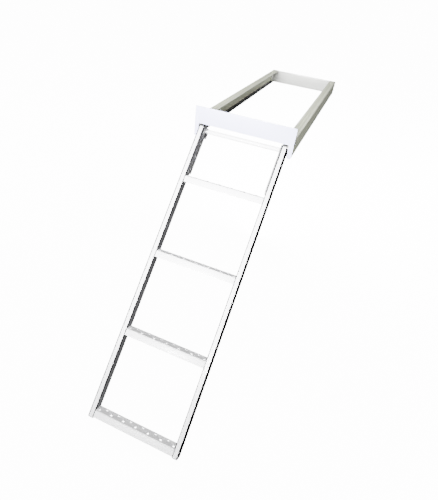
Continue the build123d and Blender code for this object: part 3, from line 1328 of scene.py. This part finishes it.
        # Painted shade: the left plate's front faces take the near-black coat, and the right one's stay
        # plain.
        edge = finishes.plate_edge_shade if hand is Hand.LEFT else finishes.plate
        self.piece(name, Slot.PLATE_ALUMINIUM, 0.5 * MM).make(
            shape.mirrored(hand),
            finishes.plate,
            self.cross_holes(),
            others=((edge, lambda normal, centre: normal.z > self.plate_front),),
        )

    def plate_rivets(self, hand: Hand, finishes: Finishes) -> None:
        """Rivets of a pivot plate, with a dome on both sides.

        Args:
            hand: Side of the rivets.
            finishes: The ladder's finishes.
        """
        dome = metres(self.rivet_dome)
        inner, outer = self.plate_inner, self.web + self.rail_wall
        profile = [(radius, inner - height) for radius, height in dome[::-1]]
        profile += [(self.rivet_shank_radius, inner), (self.rivet_shank_radius, outer)]
        profile += [(radius, outer + height) for radius, height in dome]
        shape = self.shape()
        for reach in self.rivets:
            shape.turned(profile, Vector((0.0, -reach, self.rivet_level)), X_AXIS)
        name = f"{hand.word}_pivot_plate_rivets"
        self.piece(name, Slot.PLATE_ALUMINIUM, 0.0).make(shape.mirrored(hand), finishes.zinc)

    def bush(self, hand: Hand, finishes: Finishes) -> None:
        """Flanged bush on the pivot rod.

        Args:
            hand: Side of the bush.
            finishes: The ladder's finishes.
        """
        outer = self.web + self.rail_wall
        end = outer + self.bush_flange
        profile = [
            (self.bush_inner_radius, self.plate_inner),
            (self.bush_outer_radius, self.plate_inner),
            (self.bush_outer_radius, outer),
            (self.bush_flange_radius, outer),
            (self.bush_flange_radius, end),
            (self.bush_inner_radius, end),
        ]
        shape = self.shape().turned(profile, ORIGIN, X_AXIS, ring=True)
        name = f"{hand.word}_pivot_bush"
        self.piece(name, Slot.SHOE_NYLON, 0.2 * MM).make(shape.mirrored(hand), finishes.nylon)

    def spacer(self, finishes: Finishes) -> None:
        """White tube round the pivot rod, between the pivot plates.

        Args:
            finishes: The ladder's finishes.
        """
        half = self.plate_inner
        profile = box_outline((self.tube_inner_radius, -half), (self.tube_radius, half))
        shape = self.shape().turned(profile, ORIGIN, X_AXIS, ring=True, sides=48)
        self.piece("spacer_tube", Slot.WHITE_COAT, 0.4 * MM).make(shape, finishes.white)

    def hook(self, finishes: Finishes) -> None:
        """Small bent hook that hangs from the left end of the spacer tube.

        Args:
            finishes: The ladder's finishes.
        """
        start = -self.plate_inner
        end = start + self.hook_width
        profile = box_outline((self.tube_radius, start), (self.hook_eye_radius, end))
        eye = Shape().turned(profile, ORIGIN, X_AXIS, ring=True, sides=40)
        corners = [(0.0, -self.hook_start), (-self.hook_length, -self.hook_start), (-self.hook_length, 0.0)]
        section = thickened(rounded(corners, self.hook_bend), self.hook_wall)
        bent = self.shape().prism(section, Along.X, start, end)
        cutter = Shape().drill(self.tube_radius, ORIGIN, X_AXIS, CROSS_REACH)
        self.piece("strap_hook", Slot.DARK_STEEL, 0.3 * MM).make(bent, finishes.dark_steel, cutter, eye)

    def stop_pad(self, hand: Hand, finishes: Finishes) -> None:
        """Ribbed rubber pad on a ladder rail's face, which meets the fascia's lower edge.

        Args:
            hand: Side of the pad.
            finishes: The ladder's finishes.
        """
        low, high = self.face, self.face + self.pad_height
        near, far = self.top - self.pad_length, self.top
        path = [(near, low), (near, high), (far, high), (far, low)]
        outline = rounded(path, self.pad_corner)
        shape = self.shape().prism(outline, Along.X, self.web + self.rail_bend, self.half_width)
        cutter = Shape()
        for start in self.pad_groove_starts:
            y = near + start
            groove = box_outline((y, high - self.pad_groove_depth), (y + self.pad_groove_width, high + MM))
            cutter.prism(groove, Along.X, -CROSS_REACH, CROSS_REACH)
        name = f"{hand.word}_stop_pad"
        self.piece(name, Slot.BLACK_RUBBER, 0.25 * MM).make(shape.mirrored(hand), finishes.rubber, cutter)

    def foot_cap(self, hand: Hand, finishes: Finishes) -> None:
        """Plastic cap in the lower end of a ladder rail, with ribs under it.

        Args:
            hand: Side of the cap.
            finishes: The ladder's finishes.
        """
        end = -self.reach
        outline = rounded(
            box_outline((self.web, -self.back), (self.half_width, self.face)), self.cap_corner, closed=True
        )
        shape = self.shape().prism(outline, Along.Y, end - self.cap_height, end - FACE_GAP / 2)
        inset = self.cap_gap
        inside = box_outline(
            (self.web + inset, -self.back + inset), (self.half_width - inset, self.face - inset)
        )
        plug_outline = rounded(inside, self.cap_corner, closed=True)
        plug = Shape().prism(plug_outline, Along.Y, end, end + self.cap_plug)
        cutter = Shape()
        foot = end - self.cap_height
        for index in range(self.cap_rib_count):
            level = -self.back + self.cap_rib_start + index * self.cap_rib_pitch
            groove = box_outline((foot - MM, level), (foot + MM, level + self.cap_rib_width))
            cutter.prism(groove, Along.X, -CROSS_REACH, CROSS_REACH)
        name = f"{hand.word}_foot_cap"
        self.piece(name, Slot.BLACK_NYLON, 0.4 * MM).make(
            shape.mirrored(hand), finishes.cap, cutter, plug.mirrored(hand)
        )

    def tread(self, number: int, reach: float, finishes: Finishes) -> None:
        """Tread between the ladder rails: a folded sheet with raised anti-slip holes and weld beads.

        Args:
            number: Count from the top.
            reach: Distance of its nose from the pivot, down the ladder.
            finishes: The ladder's finishes.
        """
        tilt = math.radians(self.tread_tilt)
        depth = self.face + self.back - self.tread_back_margin
        rise = depth * math.tan(tilt)
        nose = Vector((-reach, self.face))
        rear = Vector((-reach + rise, self.face - depth))
        corners = [
            (nose.x - self.tread_apron, self.face),
            nose,
            rear,
            (rear.x - self.tread_back, rear.y),
        ]
        front_bend, rear_bend = self.tread_bends
        outline = rounded(corners[:3], front_bend, steps=8)[:-1]
        outline += rounded(corners[1:], rear_bend, steps=8)[1:]
        section = thickened(outline, self.tread_wall)
        edge = self.web - FACE_GAP
        shape = self.shape().prism(section, Along.X, -edge, edge)
        rearward = (rear - nose).normalized()
        upward = Vector((0.0, math.cos(tilt), math.sin(tilt)))
        cutter, collars = Shape(), Shape()
        last = self.web - self.grip_end_margin
        for index in range(self.grip_count):
            flat = nose + rearward * self.grip_rows[index % 2]
            x = -last + 2 * last * index / (self.grip_count - 1)
            centre = Vector((x, flat.x, flat.y))
            cutter.drill(self.grip_radius, centre, upward, sides=28)
            collars.turned(metres(self.grip_collar), centre, upward, ring=True, sides=28)
        front_margin, rear_margin = self.seam_margins
        start, end = nose + rearward * front_margin * MM, rear - rearward * rear_margin * MM
        for sign in (1, -1):
            seam = [Vector((sign * self.web, point.x, point.y)) for point in (start, end)]
            collars.bead(seam, self.seam_radius, self.seam_ripple, self.seam_pitch)
        self.piece(f"tread_{number}", Slot.WHITE_COAT, 0.3 * MM).make(
            shape, finishes.white, cutter, collars, self.tread_finishes(upward, finishes)
        )

    def tread_finishes(self, upward: Vector, finishes: Finishes) -> tuple:
        """Finishes of a tread's flat top, its nosing and its rear fold: painted shade on the top and on the
        dark rear fold, and a painted highlight on the nosing.

        Args:
            upward: The way that the flat top faces.
            finishes: The ladder's finishes.

        Returns:
            Each finish with the test for its faces.
        """
        nosing_floor = self.face - self.tread_bends[0]
        low, high = self.nosing_tilts

        def is_top(normal: Vector, centre: Vector) -> bool:
            """True on the flat top."""
            return normal.dot(upward) > self.top_match

        def is_nosing(normal: Vector, centre: Vector) -> bool:
            """True on the outer faces of the front bend."""
            return low < normal.z < high and centre.z > nosing_floor

        def is_rear(normal: Vector, centre: Vector) -> bool:
            """True on the rear fold and the insides."""
            return normal.z < self.rear_tilt and abs(normal.x) < self.side_tilt

        return (finishes.tread_top_shade, is_top), (finishes.nosing, is_nosing), (finishes.web, is_rear)


# ---------------------------------------------------------------- studio


@dataclass
class Studio:
    """Pale floor, soft lights and the camera."""

    floor_level: float = -880 * MM
    camera_place: tuple[float, float, float] = (0.3688, -1.8666, 0.4448)
    camera_right: tuple[float, float, float] = (0.92091, 0.37495, 0.10649)
    camera_up: tuple[float, float, float] = (-0.3108, 0.5415, 0.78114)
    camera_view: tuple[float, float, float] = (-0.23522, 0.75246, -0.61521)
    lens: float = 25.29
    sensor_width: float = 36.0
    world_strength: float = 0.3
    bowl_wall: float = 0.05
    bowl: tuple = ((0.0002, 0.0), (9.0, 0.0), (12.0, 0.2), (14.5, 1.2), (16.0, 3.0), (16.6, 6.0), (16.6, 9.0))

    def build(self) -> None:
        """Build the floor, the lights and the camera."""
        self.floor()
        self.world()
        self.area("key", (-0.7, -4.0, 1.1), (0.0, -0.6, -0.3), 2.4, 290.0)
        self.area("top", (0.0, 0.4, 3.2), (0.0, -0.2, -0.2), 1.4, 210.0)
        self.area("side", (2.6, -3.4, 0.6), (0.0, -0.3, -0.2), 1.6, 105.0)
        self.spot("near", (-0.3, -3.2, 0.5), (0.0, -0.70, -0.05), 44.0, 2800.0)
        self.camera()

    def floor(self) -> None:
        """Build the floor, a wide bowl that is flat at the level of the ladder's feet."""
        upper = list(self.bowl)
        lower = [(radius + self.bowl_wall, height - self.bowl_wall) for radius, height in upper[::-1]]
        centre = Vector((0.0, 0.0, self.floor_level))
        shape = Shape().turned(upper + lower, centre, Z_AXIS, ring=True, sides=128)
        data = shape.to_mesh("floor")
        data.materials.append(StudioPaper().build())
        data.polygons.foreach_set("use_smooth", [True] * len(data.polygons))
        floor = bpy.data.objects.new("floor", data)
        bpy.context.scene.collection.objects.link(floor)
        floor.visible_diffuse = False
        floor.visible_glossy = False

    def world(self) -> None:
        """Light the scene evenly from all round."""
        world = bpy.data.worlds.new("studio")
        world.use_nodes = True
        background = world.node_tree.nodes["Background"]
        background.inputs["Color"].default_value = (1.0, 1.0, 1.0, 1.0)
        background.inputs["Strength"].default_value = self.world_strength
        bpy.context.scene.world = world

    def area(self, name: str, place: tuple, target: tuple, size: float, power: float) -> None:
        """Add a soft square light.

        Args:
            name: The light's name.
            place: Where it stands.
            target: What it points at.
            size: Length of its side.
            power: Its power in watts.
        """
        data = bpy.data.lights.new(name, "AREA")
        data.size = size
        data.energy = power
        self.hang(data, place, target)

    def spot(self, name: str, place: tuple, target: tuple, degrees: float, power: float) -> None:
        """Add a soft round light that fades towards the edge of its cone.

        Args:
            name: The light's name.
            place: Where it stands.
            target: What it points at.
            degrees: Width of its cone.
            power: Its power in watts.
        """
        data = bpy.data.lights.new(name, "SPOT")
        data.spot_size = math.radians(degrees)
        data.spot_blend = 1.0
        data.shadow_soft_size = 0.45
        data.energy = power
        self.hang(data, place, target)

    def hang(self, data: bpy.types.Light, place: tuple, target: tuple) -> None:
        """Put a light in the scene and point it.

        Args:
            data: The light.
            place: Where it stands.
            target: What it points at.
        """
        lamp = bpy.data.objects.new(data.name, data)
        lamp.location = place
        aim = Vector(target) - Vector(place)
        lamp.rotation_euler = aim.to_track_quat("-Z", "Y").to_euler()
        bpy.context.scene.collection.objects.link(lamp)

    def camera(self) -> None:
        """Set up the camera in front of the ladder, above it and a little to the right."""
        data = bpy.data.cameras.new("camera")
        data.sensor_fit = "AUTO"
        data.sensor_width = self.sensor_width
        data.lens = self.lens
        camera = bpy.data.objects.new("camera", data)
        right, up, view = (Vector(v) for v in (self.camera_right, self.camera_up, self.camera_view))
        turn = Matrix((right, up, -view)).transposed().to_4x4()
        camera.matrix_world = Matrix.Translation(self.camera_place) @ turn
        bpy.context.scene.collection.objects.link(camera)
        bpy.context.scene.camera = camera


def main() -> None:
    """Build the assemblies in order, then the studio."""
    logging.basicConfig(level=logging.INFO, format="%(message)s")
    finishes = Finishes()
    for assembly in (UnderDeckFrame(), Carriage(), Ladder()):
        assembly.build(finishes)
    Studio().build()


if __name__ == "__main__":
    main()
